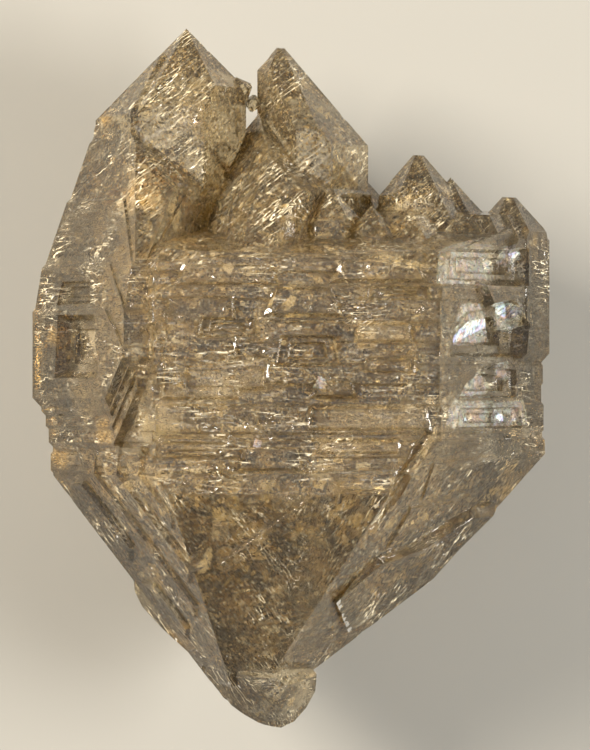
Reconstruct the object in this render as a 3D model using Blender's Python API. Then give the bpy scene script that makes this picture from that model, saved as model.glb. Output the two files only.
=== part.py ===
"""A quartz crystal 94 mm tall: one doubly terminated body with parallel points grown together.

It lies on its back prism face. X runs across it, Y along its c axis towards the upper points,
and Z out of its front prism face. While it is built, Y starts at the lower tip and X and Z at
the body's own axis. The finished solid is moved so that its box stands on the origin.
Heights and distances are in mm.
"""

import itertools
import math
from dataclasses import dataclass

import bmesh
import bpy
import numpy as np
from mathutils import Matrix, Vector

MM = 0.001
MERGE_DISTANCE = 0.000012

# Quartz has a prism face every 60 degrees, and rhombohedral faces 51.79 degrees off its base plane.
AZIMUTHS = (0, 60, 120, 180, 240, 300)
RHOMB_TILT = 51.79
HALF_ANGLE = math.sin(math.radians(60))

# The body: its side edges, its front and back faces, and where its ends begin.
BODY_LEFT = 32.2
BODY_RIGHT = 34.3
BODY_FRONT = 25.2
BODY_BACK = 18.8
BODY_TOP = 69.0
FRONT_CROWN_LEFT = 63.2
FRONT_CROWN_RIGHT = 62.3
BACK_CROWN = 61.5
LEFT_CROWN = 62.0
LEFT_CROWN_TILT = 47
RIGHT_CROWN = 65.7
RIGHT_CROWN_TILT = 55
LOWER_APEX = 0.0
RIGHT_HIP = 36.8
LEFT_HIP = 34.4
ROOT_TILT_RIGHT = 53.3
ROOT_TILT_LEFT = 56.6
ROOT_TURN_RIGHT = 56.5

# Worn places of the outline, seen from the front.
HIP_END = (19.3, 20.0)
TIP_NOTCH = (3.6, 8.1)
TIP_CUT = 3.0

CORE_INSET = 0.62
ENVELOPE_ROOM = 4.0
BACK_CLEAR = 0.07
PLATE_SINK = 1.6
PLATE_DRAFT = 38
WINDOW_DRAFT = 24

# Cutters stand this far out of their face, each a little more than the one before.
CUTTER_REACH = 2.6
CUTTER_STEP = 0.13


@dataclass
class Point:
    """A doubly terminated crystal, parallel to the body. left and right are to its side edges."""

    name: str
    x: float
    z: float
    left: float
    right: float
    front: float
    back: float
    apex: float
    foot: float
    tilt: float = RHOMB_TILT
    blunt: float = 0.0


def clear_scene():
    for old in list(bpy.data.objects):
        bpy.data.objects.remove(old, do_unlink=True)


def face_normal(azimuth, tilt=90.0, upward=True):
    """Outward normal of a face: azimuth 0 looks out of the front, tilt is its angle to the base plane."""
    turn, lean = math.radians(azimuth), math.radians(tilt)
    rise = math.cos(lean) if upward else -math.cos(lean)
    return Vector((math.sin(turn) * math.sin(lean), rise, math.cos(turn) * math.sin(lean)))


def convex_solid(planes):
    """The solid inside all planes, each a point and an outward normal, as a bmesh."""
    normals = np.array([normal for _, normal in planes])
    reaches = np.array([normal.dot(point) for point, normal in planes])
    triples = np.array(list(itertools.combinations(range(len(planes)), 3)))
    sets = normals[triples]
    meeting = np.abs(np.linalg.det(sets)) > 1e-5
    corners = np.linalg.solve(sets[meeting], reaches[triples[meeting]][..., None])[..., 0]
    inside = (corners @ normals.T <= reaches + 1e-6).all(axis=1)
    corners = np.unique(np.round(corners[inside], 4), axis=0)
    shape = bmesh.new()
    for corner in corners:
        shape.verts.new(corner)
    bmesh.ops.convex_hull(shape, input=shape.verts[:])
    loose = [vertex for vertex in shape.verts if not vertex.link_faces]
    bmesh.ops.delete(shape, geom=loose, context="VERTS")
    bmesh.ops.recalc_face_normals(shape, faces=shape.faces[:])
    return shape


def to_object(shape, name, collection):
    """Turns a bmesh in mm into an object in metres."""
    bmesh.ops.scale(shape, verts=shape.verts[:], vec=(MM, MM, MM))
    mesh = bpy.data.meshes.new(name)
    shape.to_mesh(mesh)
    shape.free()
    made = bpy.data.objects.new(name, mesh)
    collection.objects.link(made)
    return made


def face_reaches(left, right, front, back):
    """How far each prism face is from the axis. A side edge is further out than the faces beside it."""
    side = {60: right, 120: right, 240: left, 300: left}
    return {0: front, 180: back} | {turn: reach * HALF_ANGLE for turn, reach in side.items()}


def hexagon(x, z, reaches):
    """Six prism planes round the axis at x, z."""
    axis = Vector((x, 0, z))
    return [(axis + face_normal(turn) * reach, face_normal(turn)) for turn, reach in reaches.items()]


def termination(x, z, apex, tilt, upward=True):
    """Six faces that meet at one apex."""
    tip = Vector((x, apex, z))
    return [(tip, face_normal(turn, tilt, upward)) for turn in AZIMUTHS]


def point_planes(point):
    reaches = face_reaches(point.left, point.right, point.front, point.back)
    planes = hexagon(point.x, point.z, reaches)
    planes += termination(point.x, point.z, point.apex, point.tilt)
    planes += termination(point.x, point.z, point.foot, point.tilt, upward=False)
    if point.blunt:
        worn = Vector((0.05, 1, 0.08)).normalized()
        planes.append((Vector((point.x, point.apex - point.blunt, point.z)), worn))
    return planes


def outline_planes(start, end, lean, z=0.0):
    """Two planes through the line from start to end, seen from the front, with the solid on its left."""
    run = Vector((end[0] - start[0], end[1] - start[1], 0)).normalized()
    out = Vector((run.y, -run.x, 0))
    angle = math.radians(lean)
    place = Vector((start[0], start[1], z))
    front, back = (Vector((0, 0, side * math.sin(angle))) for side in (1, -1))
    return [(place, out * math.cos(angle) + front), (place, out * math.cos(angle) + back)]


def knob(outline, z, front, back, lean):
    """Planes of a worn lump, with a front view outline run anticlockwise."""
    planes = []
    for here, there in zip(outline, outline[1:] + outline[:1]):
        planes += outline_planes(here, there, lean, z)
    planes.append((Vector((0, 0, z + front)), Vector((0.12, -0.25, 1)).normalized()))
    planes.append((Vector((0, 0, z - back)), Vector((-0.10, -0.20, -1)).normalized()))
    return planes


# The six lower faces of the body, by azimuth: (a point on it, normal).
def root_faces():
    right = Vector((BODY_RIGHT, RIGHT_HIP, 0))
    left = Vector((-BODY_LEFT, LEFT_HIP, 0))
    middle = Vector((0, LOWER_APEX, 0))
    return {
        0: (middle, face_normal(0, RHOMB_TILT, False)),
        60: (right, face_normal(ROOT_TURN_RIGHT, ROOT_TILT_RIGHT, False)),
        120: (right, face_normal(180 - ROOT_TURN_RIGHT, ROOT_TILT_RIGHT, False)),
        180: (middle, face_normal(180, RHOMB_TILT, False)),
        240: (left, face_normal(240, ROOT_TILT_LEFT, False)),
        300: (left, face_normal(300, ROOT_TILT_LEFT, False)),
    }


def crown_planes():
    """The sloping and broken top of the body."""
    left = Vector((-BODY_LEFT, LEFT_CROWN, 0))
    right = Vector((BODY_RIGHT, RIGHT_CROWN, 0))
    return [
        (Vector((-9, FRONT_CROWN_LEFT, BODY_FRONT)), face_normal(-8, RHOMB_TILT)),
        (Vector((10, FRONT_CROWN_RIGHT, BODY_FRONT)), face_normal(7, RHOMB_TILT - 2)),
        (Vector((0, BACK_CROWN, -BODY_BACK)), face_normal(180, RHOMB_TILT)),
        (Vector((0, BODY_TOP, 1)), Vector((0.02, 1, 0.24)).normalized()),
        (Vector((0, BODY_TOP, -2)), Vector((-0.03, 1, -0.20)).normalized()),
        (left, face_normal(240, LEFT_CROWN_TILT)),
        (left, face_normal(300, LEFT_CROWN_TILT)),
        (right, face_normal(60, RIGHT_CROWN_TILT)),
        (right, face_normal(120, RIGHT_CROWN_TILT)),
    ]


def worn_planes():
    """The worn lower right edge, and the break above the tip."""
    broken = (Vector((0, TIP_CUT, 0)), Vector((-0.30, -1, 0.10)).normalized())
    return outline_planes(TIP_NOTCH, HIP_END, 28) + [broken]


def prism_planes(insets, low, high):
    """Six prism faces, each drawn in by its inset, between two heights."""
    full = face_reaches(BODY_LEFT, BODY_RIGHT, BODY_FRONT, BODY_BACK)
    planes = hexagon(0, 0, {turn: reach - insets[turn] for turn, reach in full.items()})
    return planes + [(Vector((0, high, 0)), Vector((0, 1, 0))), (Vector((0, low, 0)), Vector((0, -1, 0)))]


def end_planes():
    return list(root_faces().values()) + crown_planes() + worn_planes()


def even(inset):
    return {turn: inset for turn in AZIMUTHS}


# Growth bands round the prism: the height where each begins, and how far it stands back from the
# front, right, left and back faces. The body lies on the back of the widest ones.
BANDS = [
    (29.0, 0.00, 0.00, 0.30, 0.30),
    (34.6, 0.30, 0.10, 0.00, 0.00),
    (36.8, 0.08, 0.00, 0.26, 0.25),
    (38.7, 0.44, 0.34, 0.05, 0.00),
    (40.0, 0.12, 0.16, 0.30, 0.00),
    (43.4, 0.34, 0.44, 0.00, 0.00),
    (46.3, 0.00, 0.24, 0.36, 0.00),
    (48.7, 0.24, 0.40, 0.12, 0.00),
    (51.8, 0.05, 0.20, 0.40, 0.30),
    (54.1, 0.40, 0.44, 0.10, 0.12),
    (57.4, 0.14, 0.06, 0.34, 0.36),
    (58.9, 0.46, 0.40, 0.16, 0.06),
    (61.0, 0.02, 0.20, 0.42, 0.24),
    (62.7, 0.30, 0.10, 0.24, 0.40),
    (64.3, 0.04, 0.38, 0.44, 0.14),
]
BANDS_END = 69.2
BAND_OVERLAP = 0.4


def growth_bands():
    """Names and planes of the bands. A band's upper and lower edges are narrow rhombohedral faces."""
    ends = [band[0] for band in BANDS[1:]] + [BANDS_END]
    rows = []
    for number, ((low, front, right, left, back), high) in enumerate(zip(BANDS, ends)):
        insets = {0: front, 60: right, 120: right, 180: back, 240: left, 300: left}
        planes = prism_planes(insets, low - BAND_OVERLAP, high + BAND_OVERLAP)
        for point, normal in planes[:6]:
            turn = math.degrees(math.atan2(normal.x, normal.z))
            planes.append((point + Vector((0, high, 0)), face_normal(turn, RHOMB_TILT)))
            planes.append((point + Vector((0, low, 0)), face_normal(turn, RHOMB_TILT, False)))
        rows.append((f"band_{number}", planes))
    return rows


# The upper left point, and its lower twin.
LEFT_AXIS = -13.9
LEFT_DEPTH = 1.5
LEFT_POINT = Point("left_point", LEFT_AXIS, LEFT_DEPTH, 12.2, 7.9, 9.4, 8.5, 93.9, 45.0, 49.4)
LEFT_TWIN = Point("left_twin", -17.0, 3.0, 8.6, 6.0, 7.8, 7.6, 90.7, 45.0, 49.6, 0.2)

# The sloping flanks below each upper point. (name, x, z, apex, foot, faces), where each face is
# (azimuths, tilt, reach, height): at that height it is that far from the axis, measured to its side
# edge if it is a side face. An upright face has the same reach at every height.
UPRIGHT = 90
LEFT_SIDE = (240, 300)
RIGHT_SIDE = (60, 120)
FRONT_SIDE = (0,)
BACK_SIDE = (180,)
LEFT_HIP_REACH = 19.7
MIDDLE_AXIS = -1.3
FLANKS = [
    ("left_flank", LEFT_AXIS, LEFT_DEPTH, 93.2, 21.6, [
        (LEFT_SIDE, 73.5, 12.3, 80.6),
        (LEFT_SIDE, 82, 19.4, 58.0),
        (LEFT_SIDE, UPRIGHT, LEFT_HIP_REACH, 0),
        (RIGHT_SIDE, UPRIGHT, 7.6, 0),
        (RIGHT_SIDE, 42.6, 7.7, 72.0),
        (FRONT_SIDE, 58.2, 10.4, 80.0),
        (FRONT_SIDE, UPRIGHT, 21.3, 0),
        (BACK_SIDE, 63.2, 8.8, 80.0),
        (BACK_SIDE, UPRIGHT, 18.2, 0),
    ]),
    ("middle_flank", MIDDLE_AXIS, 0.5, 91.0, 36.0, [
        (LEFT_SIDE, 54.4, 4.0, 81.2),
        (LEFT_SIDE, 63.0, 12.6, 71.4),
        (RIGHT_SIDE, UPRIGHT, 11.9, 0),
        (RIGHT_SIDE, 40.5, 12.1, 71.5),
        (FRONT_SIDE, 54.8, 9.6, 80.0),
        (FRONT_SIDE, UPRIGHT, 22.4, 0),
        (BACK_SIDE, 63.2, 8.8, 80.0),
        (BACK_SIDE, UPRIGHT, 18.2, 0),
    ]),
    ("small_flank", 17.4, 1.5, 76.4, 46.0, [
        (LEFT_SIDE, 56.7, 5.2, 70.6),
        (RIGHT_SIDE, 50.1, 7.2, 70.6),
        (FRONT_SIDE, 43.5, 12.6, 70.6),
        (FRONT_SIDE, UPRIGHT, 21.8, 0),
        (BACK_SIDE, 60.0, 13.6, 70.6),
        (BACK_SIDE, UPRIGHT, 18.2, 0),
    ]),
]

# Younger growth layers on the flanks: (how far each stands out, how much lower it begins)
FLANK_LAYERS = [(0.0, 0.0), (0.3, 6.4), (0.55, 11.8), (0.85, 16.4)]

# How the left flank ends below, down its left side edge: (height, left side edge).
LEFT_ANKLES = [(42.6, 19.5), (40.6, 18.9), (38.4, 18.5)]


def flank(x, z, apex, foot, faces, out, drop):
    """Planes of one growth layer of a flank: it stands out from the innermost one, and begins lower."""
    planes = termination(x, z, apex - drop, LEFT_POINT.tilt)
    planes += termination(x, z, foot, RHOMB_TILT, upward=False)
    for azimuths, tilt, reach, height in faces:
        for turn in azimuths:
            away = reach * HALF_ANGLE if turn in LEFT_SIDE + RIGHT_SIDE else reach
            place = Vector((x, height, z)) + face_normal(turn) * (away + out)
            planes.append((place, face_normal(turn, tilt)))
    return planes


def shoulders():
    """Names and planes of the flanks, and of the ankles below the left one."""
    rows = []
    for name, x, z, apex, foot, faces in FLANKS:
        for number, (out, drop) in enumerate(FLANK_LAYERS):
            rows.append((f"{name}_{number}", flank(x, z, apex, foot, faces, out, drop)))
    rise = math.tan(math.radians(RHOMB_TILT)) * HALF_ANGLE
    for number, (height, left) in enumerate(LEFT_ANKLES):
        ankle = Point("", LEFT_AXIS, LEFT_DEPTH, left, 14.0, 21.8, 18.0, 76.0, height - left * rise)
        rows.append((f"ankle_{number}", point_planes(ankle)))
    return rows


POINTS = [
    Point("middle_point", MIDDLE_AXIS, 0.0, 3.1, 11.8, 8.8, 8.0, 92.0, 45.0, 53.4, 0.6),
    Point("small_point", 17.2, 2.0, 5.4, 5.1, 5.4, 5.2, 77.7, 55.0, 53.0, 0.8),
    Point("small_neighbour", 21.6, 0.5, 4.4, 4.4, 6.0, 6.4, 74.0, 52.0),
    Point("far_point", 29.4, 0.8, 4.6, 5.2, 5.2, 5.0, 72.3, 48.0, RHOMB_TILT, 1.0),
    Point("far_base", 26.0, 0.0, 9.0, 8.9, 10.2, 8.4, 75.3, 40.5, RHOMB_TILT, 6.0),
    Point("far_front", 24.8, 5.2, 6.6, 6.0, 9.0, 9.0, 72.4, 42.0, RHOMB_TILT, 3.4),
    Point("far_shelf", 23.2, 7.6, 7.4, 7.8, 10.4, 8.0, 70.8, 48.0, RHOMB_TILT, 2.6),
    Point("front_shelf", 14.6, 9.4, 9.0, 8.6, 12.2, 8.0, 72.6, 48.0, RHOMB_TILT, 3.8),
    Point("front_point", 5.6, 12.4, 4.4, 3.6, 3.6, 4.4, 72.2, 50.0),
    Point("front_neighbour", 10.8, 13.2, 3.0, 3.6, 3.4, 4.0, 69.8, 50.0),
    Point("back_right", 9.0, -8.4, 9.0, 8.0, 7.6, 8.2, 75.4, 44.0),
    Point("back_left", -17.5, -7.4, 9.6, 9.6, 7.6, 8.6, 76.8, 44.0),
    Point("back_small", 22.6, -7.6, 6.4, 5.8, 5.6, 6.6, 71.0, 44.0),
    Point("back_middle", -2.0, -11.0, 5.0, 4.6, 4.4, 4.8, 71.6, 44.0),
]

# The clear column beside the upper left point, and two tiny turned crystals that bridge the gap:
# (x, y, z, half width, half length, turn)
COLUMN = Point("column", -7.1, 1.4, 1.25, 1.2, 1.15, 1.15, 86.4, 66.0)
BRIDGE = [
    (-6.5, 85.7, 2.1, 1.45, 1.85, 24),
    (-5.0, 83.9, 1.0, 1.15, 1.45, 80),
]

# The broken lower tip, and a slab grown along the lower left edge: front view outlines.
TIP_KNOB = [
    (-12.0, 8.0),
    (-8.5, 3.5),
    (-6.2, 1.8),
    (-3.6, 0.35),
    (-1.2, 0.0),
    (0.6, 0.9),
    (2.2, 2.7),
    (3.4, 4.9),
    (3.6, 7.2),
    (0.5, 11.0),
    (-8.0, 12.0),
]
LEFT_SLAB = [
    (-21.2, 20.6),
    (-21.0, 18.2),
    (-19.6, 15.3),
    (-17.2, 13.1),
    (-14.9, 10.6),
    (-12.1, 7.7),
    (-9.0, 12.0),
    (-17.0, 22.0),
]


def bridge_crystal(x, y, z, half, length, turn):
    """A stubby doubly terminated crystal, turned about Z."""
    shape = convex_solid(point_planes(Point("", 0, 0, half, half, half, half, length, -length)))
    spin = Matrix.Rotation(math.radians(turn), 4, "Z")
    bmesh.ops.transform(shape, matrix=Matrix.Translation((x, y, z)) @ spin, verts=shape.verts[:])
    return shape


# Faces of the body that carry plates and windows: (a point on it, normal).
def carrying_faces():
    reaches = face_reaches(BODY_LEFT, BODY_RIGHT, BODY_FRONT, BODY_BACK)
    prism = {turn: (face_normal(turn) * reach, face_normal(turn)) for turn, reach in reaches.items()}
    roots = root_faces()
    hip_face = Vector((LEFT_AXIS, 0, LEFT_DEPTH)) + face_normal(300) * (LEFT_HIP_REACH * HALF_ANGLE)
    return {
        "front": prism[0],
        "hip_left": (hip_face, face_normal(300)),
        "front_right": prism[60],
        "front_left": prism[300],
        "back": prism[180],
        "back_right": prism[120],
        "back_left": prism[240],
        "root": roots[0],
        "root_right": roots[60],
        "root_left": roots[300],
        "root_back": roots[180],
        "root_back_right": roots[120],
        "root_back_left": roots[240],
    }


def side_planes(face, outline, draft):
    """Planes through a front view outline on a face. With a draft they lean in as they leave it."""
    point, normal = face
    seat = []
    for x, y in outline:
        depth = (point - Vector((x, y, 0))).dot(normal) / normal.z
        seat.append(Vector((x, y, depth)))
    centre = sum(seat, Vector()) / len(seat)
    angle = math.radians(draft)
    planes = []
    for here, there in zip(seat, seat[1:] + seat[:1]):
        out = (there - here).cross(normal).normalized()
        if out.dot(here - centre) < 0:
            out.negate()
        planes.append((here, out * math.cos(angle) + normal * math.sin(angle)))
    return planes


def plate(face, outline, height):
    """A raised growth plate that nowhere stands more than its height off the body."""
    point, normal = face
    planes = side_planes(face, outline, PLATE_DRAFT)
    planes += prism_planes(even(-height) | {180: BACK_CLEAR}, LOWER_APEX, BODY_TOP)
    planes += [(place + out * height, out) for place, out in end_planes()]
    planes.append((point - normal * PLATE_SINK, -normal))
    return convex_solid(planes)


def window(face, outline, depth, number):
    """A cutter for a recessed window. Its floor is parallel to the face and its walls lean out."""
    point, normal = face
    planes = side_planes(face, outline, -WINDOW_DRAFT)
    planes.append((point - normal * depth, -normal))
    planes.append((point + normal * (CUTTER_REACH + CUTTER_STEP * number), normal))
    return convex_solid(planes)


def box(left, right, bottom, top):
    return [(left, bottom), (right, bottom), (right, top), (left, top)]


def taper(left, right, bottom, top, slant):
    """A long plate whose upper edge is shorter than its lower one by slant at each end."""
    return [(left, bottom), (right, bottom), (right - slant, top), (left + slant, top)]


# The band along the lower right edge, and the arched window on the front right face: front view outlines.
LOWER_RIGHT_BAND = [(8.8, 12.6), (18.9, 20.8), (27.8, 29.6), (24.2, 29.2), (12.5, 22.3), (7.8, 16.2)]
ARCH = [(21.2, 49.6), (31.0, 49.6), (31.4, 54.0), (29.0, 57.0), (24.2, 56.0), (21.0, 53.0)]

# Raised growth plates: (face, front view outline, height)
PLATES = [
    ("front", taper(-16.6, -6.6, 44.4, 57.6, 0.8), 0.30),
    ("front", taper(8.7, 15.9, 51.7, 54.1, 0.3), 0.42),
    ("front", taper(2.4, 18.2, 40.3, 43.3, 0.5), 0.36),
    ("front", taper(-13.4, -3.2, 45.6, 49.8, -0.5), 0.46),
    ("front", taper(2.8, 8.6, 44.6, 46.7, 0.6), 0.34),
    ("front", taper(9.6, 16.2, 47.7, 49.6, 0.4), 0.30),
    ("front", taper(-3.0, 6.6, 55.2, 58.7, 1.2), 0.30),
    ("front", taper(3.4, 14.2, 37.2, 38.9, 0.2), 0.34),
    ("front", taper(-16.6, -8.0, 38.5, 39.4, 0.1), 0.34),
    ("front", taper(-16.0, -8.8, 36.9, 37.7, 0.1), 0.30),
    ("front", taper(-6.6, 1.6, 35.2, 38.0, 0.6), 0.22),
    ("front", taper(5.6, 17.6, 59.6, 62.4, 1.4), 0.36),
    ("front", taper(-14.6, -1.6, 59.2, 61.8, 1.0), 0.28),
    ("root", taper(6.6, 13.2, 32.5, 33.3, 0.1), 0.36),
    ("root", taper(-10.2, -7.9, 25.8, 28.2, 0.1), 0.34),
    ("root", [(-6.6, 31.2), (-4.6, 29.4), (-0.6, 29.6), (0.6, 31.2), (-2.6, 32.6), (-5.6, 32.4)], 0.28),
    ("root", [(-9.6, 22.6), (-8.6, 21.6), (6.4, 31.0), (6.8, 33.6), (4.8, 33.4)], 0.26),
    ("front_left", taper(-30.0, -19.0, 35.2, 37.0, 0.4), 0.30),
    ("root_right", LOWER_RIGHT_BAND, 0.80),
    ("root_right", [(18.6, 36.2), (31.6, 37.4), (27.6, 33.4), (17.0, 31.0)], 0.30),
    ("root_right", [(15.6, 30.4), (22.0, 31.0), (17.8, 27.6), (13.6, 24.8)], 0.36),
    ("back_right", taper(25.0, 32.8, 42.4, 58.2, 0.5), 0.40),
    ("back_right", taper(26.4, 31.4, 45.6, 54.0, 0.5), 0.70),
    ("back_left", taper(-31.0, -22.6, 38.6, 56.4, 0.5), 0.40),
    ("back_left", taper(-29.4, -24.0, 43.6, 50.0, 0.5), 0.66),
    ("root_back", taper(-8.0, 9.0, 15.4, 18.8, 1.0), 0.42),
    ("root_back", [(-4.6, 9.4), (3.2, 9.4), (6.0, 12.8), (-6.0, 12.8)], 0.40),
    ("root_back_right", [(17.0, 25.8), (24.4, 29.6), (28.4, 35.2), (19.8, 34.0)], 0.46),
    ("root_back_left", [(-27.4, 31.0), (-19.0, 21.8), (-16.6, 24.4), (-22.0, 32.2)], 0.46),
]

# Growth ledges parallel to the lower left edge: (how far inside that edge, high end, low end, width, height)
LEDGES = [
    (1.6, 32.6, 21.4, 1.5, 0.50),
    (4.1, 33.4, 12.6, 1.3, 0.42),
    (6.5, 33.8, 15.8, 1.6, 0.56),
    (9.2, 33.6, 21.6, 1.1, 0.40),
    (1.2, 19.4, 11.2, 1.2, 0.46),
]

# Recessed windows: (face, front view outline, depth)
WINDOWS = [
    ("front_right", box(21.0, 31.2, 59.6, 64.0), 1.10),
    ("front_right", ARCH, 1.60),
    ("front_right", [(21.8, 44.2), (30.6, 44.2), (30.4, 48.2), (26.0, 48.7), (22.6, 46.8)], 1.00),
    ("front_right", taper(22.0, 31.2, 40.3, 43.2, 0.4), 0.85),
    ("front", taper(-2.0, 6.6, 48.6, 52.6, 0.7), 0.80),
    ("front", taper(9.8, 18.4, 57.0, 59.0, 0.3), 0.85),
    ("front", taper(-12.0, -4.2, 52.4, 54.8, 0.5), 0.60),
    ("hip_left", taper(-30.4, -24.8, 47.4, 55.0, 0.4), 0.90),
    ("hip_left", taper(-30.6, -26.0, 57.0, 59.8, 0.3), 0.60),
    ("back", taper(-14.0, 7.0, 53.2, 58.8, 2.0), 0.80),
    ("back", taper(-3.0, 14.0, 32.4, 38.6, -1.8), 0.80),
    ("back", [(-12.0, 26.6), (-5.0, 24.8), (2.0, 27.0), (-3.0, 31.4), (-11.0, 30.6)], 0.90),
    ("back_right", box(25.4, 31.6, 60.0, 62.6), 0.80),
    ("back_left", box(-29.4, -24.4, 58.2, 60.6), 0.70),
    ("root_back", taper(-5.4, 6.4, 20.6, 23.4, 0.8), 0.60),
]
STEPPED_SHARE = 0.72
STEPPED_DEPTH = 1.65

# Narrow cuts: the groove beside the lower right ridge, the crack under it, and the left ridge's groove.
GROOVES = [
    ("front", [(17.5, 40.3), (19.1, 39.7), (17.1, 37.4), (14.9, 34.1), (13.9, 34.4), (15.7, 38.1)], 0.80),
    ("root_right", [(14.6, 34.9), (15.9, 34.2), (13.6, 30.0), (12.6, 30.5)], 0.86),
    ("root_right", [(13.1, 31.3), (14.1, 30.7), (11.8, 26.6), (10.6, 24.1), (9.9, 24.5)], 0.74),
    ("root_right", [(10.1, 25.5), (11.0, 24.9), (8.6, 19.3), (7.8, 19.7)], 0.62),
    ("root_right", [(24.6, 30.2), (27.8, 30.4), (24.2, 29.0)], 0.50),
    ("root_right", [(24.6, 30.0), (24.4, 29.2), (18.2, 25.5), (18.0, 26.3)], 0.60),
    ("root_right", [(18.2, 26.3), (18.4, 25.6), (12.6, 22.3), (12.3, 22.9)], 0.55),
]


def ledge(inside, high, low, width):
    """A narrow outline between two heights, parallel to the lower left edge of the body."""
    slope = 1 / (math.tan(math.radians(ROOT_TILT_LEFT)) * HALF_ANGLE)
    start = Vector((-BODY_LEFT + (LEFT_HIP - high) * slope, high))
    end = Vector((-BODY_LEFT + (LEFT_HIP - low) * slope, low))
    along = (end - start).normalized()
    across = Vector((-along.y, along.x))
    start, end = start + across * inside, end + across * inside
    near, far = end + (across - along) * width, start + (across + along) * width
    return [tuple(start), tuple(end), tuple(near), tuple(far)]


def helper_collection(name):
    collection = bpy.data.collections.new(name)
    bpy.context.scene.collection.children.link(collection)
    return collection


def band(collection):
    """The bands that the prism is made of."""
    for name, planes in growth_bands():
        to_object(convex_solid(planes), name, collection)


def shape_ends(collection):
    """The solid that the banded prism is cut to, which gives it its lower faces and its top."""
    planes = prism_planes(even(-ENVELOPE_ROOM), LOWER_APEX, BODY_TOP + ENVELOPE_ROOM) + end_planes()
    to_object(convex_solid(planes), "envelope", collection)


def grow(collection):
    """Every solid that is fused to the body."""
    points = [LEFT_POINT, LEFT_TWIN, COLUMN] + POINTS
    rows = [(point.name, point_planes(point)) for point in points] + shoulders()
    rows.append(("tip_knob", knob(TIP_KNOB, 0.6, 4.3, 4.0, 34)))
    rows.append(("left_slab", knob(LEFT_SLAB, -3.0, 2.6, 2.6, 30)))
    for name, planes in rows:
        to_object(convex_solid(planes), name, collection)
    for number, row in enumerate(BRIDGE):
        to_object(bridge_crystal(*row), f"bridge_{number}", collection)
    faces = carrying_faces()
    raised = list(PLATES)
    raised += [("root_left", ledge(*row[:4]), row[4]) for row in LEDGES]
    for number, (face, outline, height) in enumerate(raised):
        to_object(plate(faces[face], outline, height), f"plate_{number}", collection)


def carve(collection):
    """Every solid that is cut away. A window has a second, deeper floor inside its first."""
    faces = carrying_faces()
    rows = []
    for face, outline, depth in WINDOWS:
        centre = sum((Vector(place) for place in outline), Vector((0, 0))) / len(outline)
        inner = [tuple(centre + (Vector(place) - centre) * STEPPED_SHARE) for place in outline]
        rows += [(face, outline, depth), (face, inner, depth * STEPPED_DEPTH)]
    for number, (face, outline, depth) in enumerate(rows + GROOVES):
        to_object(window(faces[face], outline, depth, number), f"cutter_{number}", collection)


def add_boolean(body, name, operation, collection):
    step = body.modifiers.new(name, "BOOLEAN")
    step.operation = operation
    step.operand_type = "COLLECTION"
    step.collection = collection
    step.solver = "EXACT"


def smoky_quartz():
    """Smoky quartz: clear, glossy and faintly brown."""
    material = bpy.data.materials.new("smoky_quartz")
    material.use_nodes = True
    shader = material.node_tree.nodes["Principled BSDF"]
    shader.inputs["Base Color"].default_value = (0.36, 0.29, 0.20, 1)
    shader.inputs["Roughness"].default_value = 0.08
    shader.inputs["Metallic"].default_value = 0.0
    shader.inputs["IOR"].default_value = 1.544
    shader.inputs["Transmission Weight"].default_value = 0.85
    return material


def settle(body):
    """Applies the booleans, and moves the solid so that its box stands on the origin."""
    graph = bpy.context.evaluated_depsgraph_get()
    mesh = bpy.data.meshes.new_from_object(body.evaluated_get(graph))
    body.modifiers.clear()
    body.data = mesh
    shape = bmesh.new()
    shape.from_mesh(mesh)
    bmesh.ops.remove_doubles(shape, verts=shape.verts[:], dist=MERGE_DISTANCE)
    bmesh.ops.dissolve_degenerate(shape, edges=shape.edges[:], dist=MERGE_DISTANCE)
    shape.to_mesh(mesh)
    shape.free()
    corners = [vertex.co for vertex in mesh.vertices]
    low = Vector([min(corner[axis] for corner in corners) for axis in range(3)])
    high = Vector([max(corner[axis] for corner in corners) for axis in range(3)])
    middle = (low + high) / 2
    mesh.transform(Matrix.Translation((-middle.x, -middle.y, -low.z)))


def main():
    clear_scene()
    core = convex_solid(prism_planes(even(CORE_INSET), LOWER_APEX - 1, BODY_TOP + 3))
    body = to_object(core, "quartz_crystal", bpy.context.scene.collection)
    stages = [
        ("bands", band, "UNION"),
        ("ends", shape_ends, "INTERSECT"),
        ("grown", grow, "UNION"),
        ("carved", carve, "DIFFERENCE"),
    ]
    for name, make, operation in stages:
        collection = helper_collection(name)
        make(collection)
        add_boolean(body, name, operation, collection)
    settle(body)
    for name, _, _ in stages:
        for helper in list(bpy.data.collections[name].objects):
            bpy.data.objects.remove(helper, do_unlink=True)
    body.data.materials.clear()
    body.data.materials.append(smoky_quartz())


main()
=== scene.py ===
"""The looks of a smoky quartz crystal, 94 mm tall, that lies on its back prism face.

It is one clear, faintly brown crystal with a glossy skin. Growth lines run over its faces, and it is
full of cracks: thin gaps that shine like mirrors, and cloudy veils. Lengths are in millimetres, apart
from those of the stage, which are in metres as the scene is.
"""

import itertools
import math
from dataclasses import dataclass

import bmesh
import bpy
import numpy as np
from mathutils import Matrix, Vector
from mathutils.bvhtree import BVHTree


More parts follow.
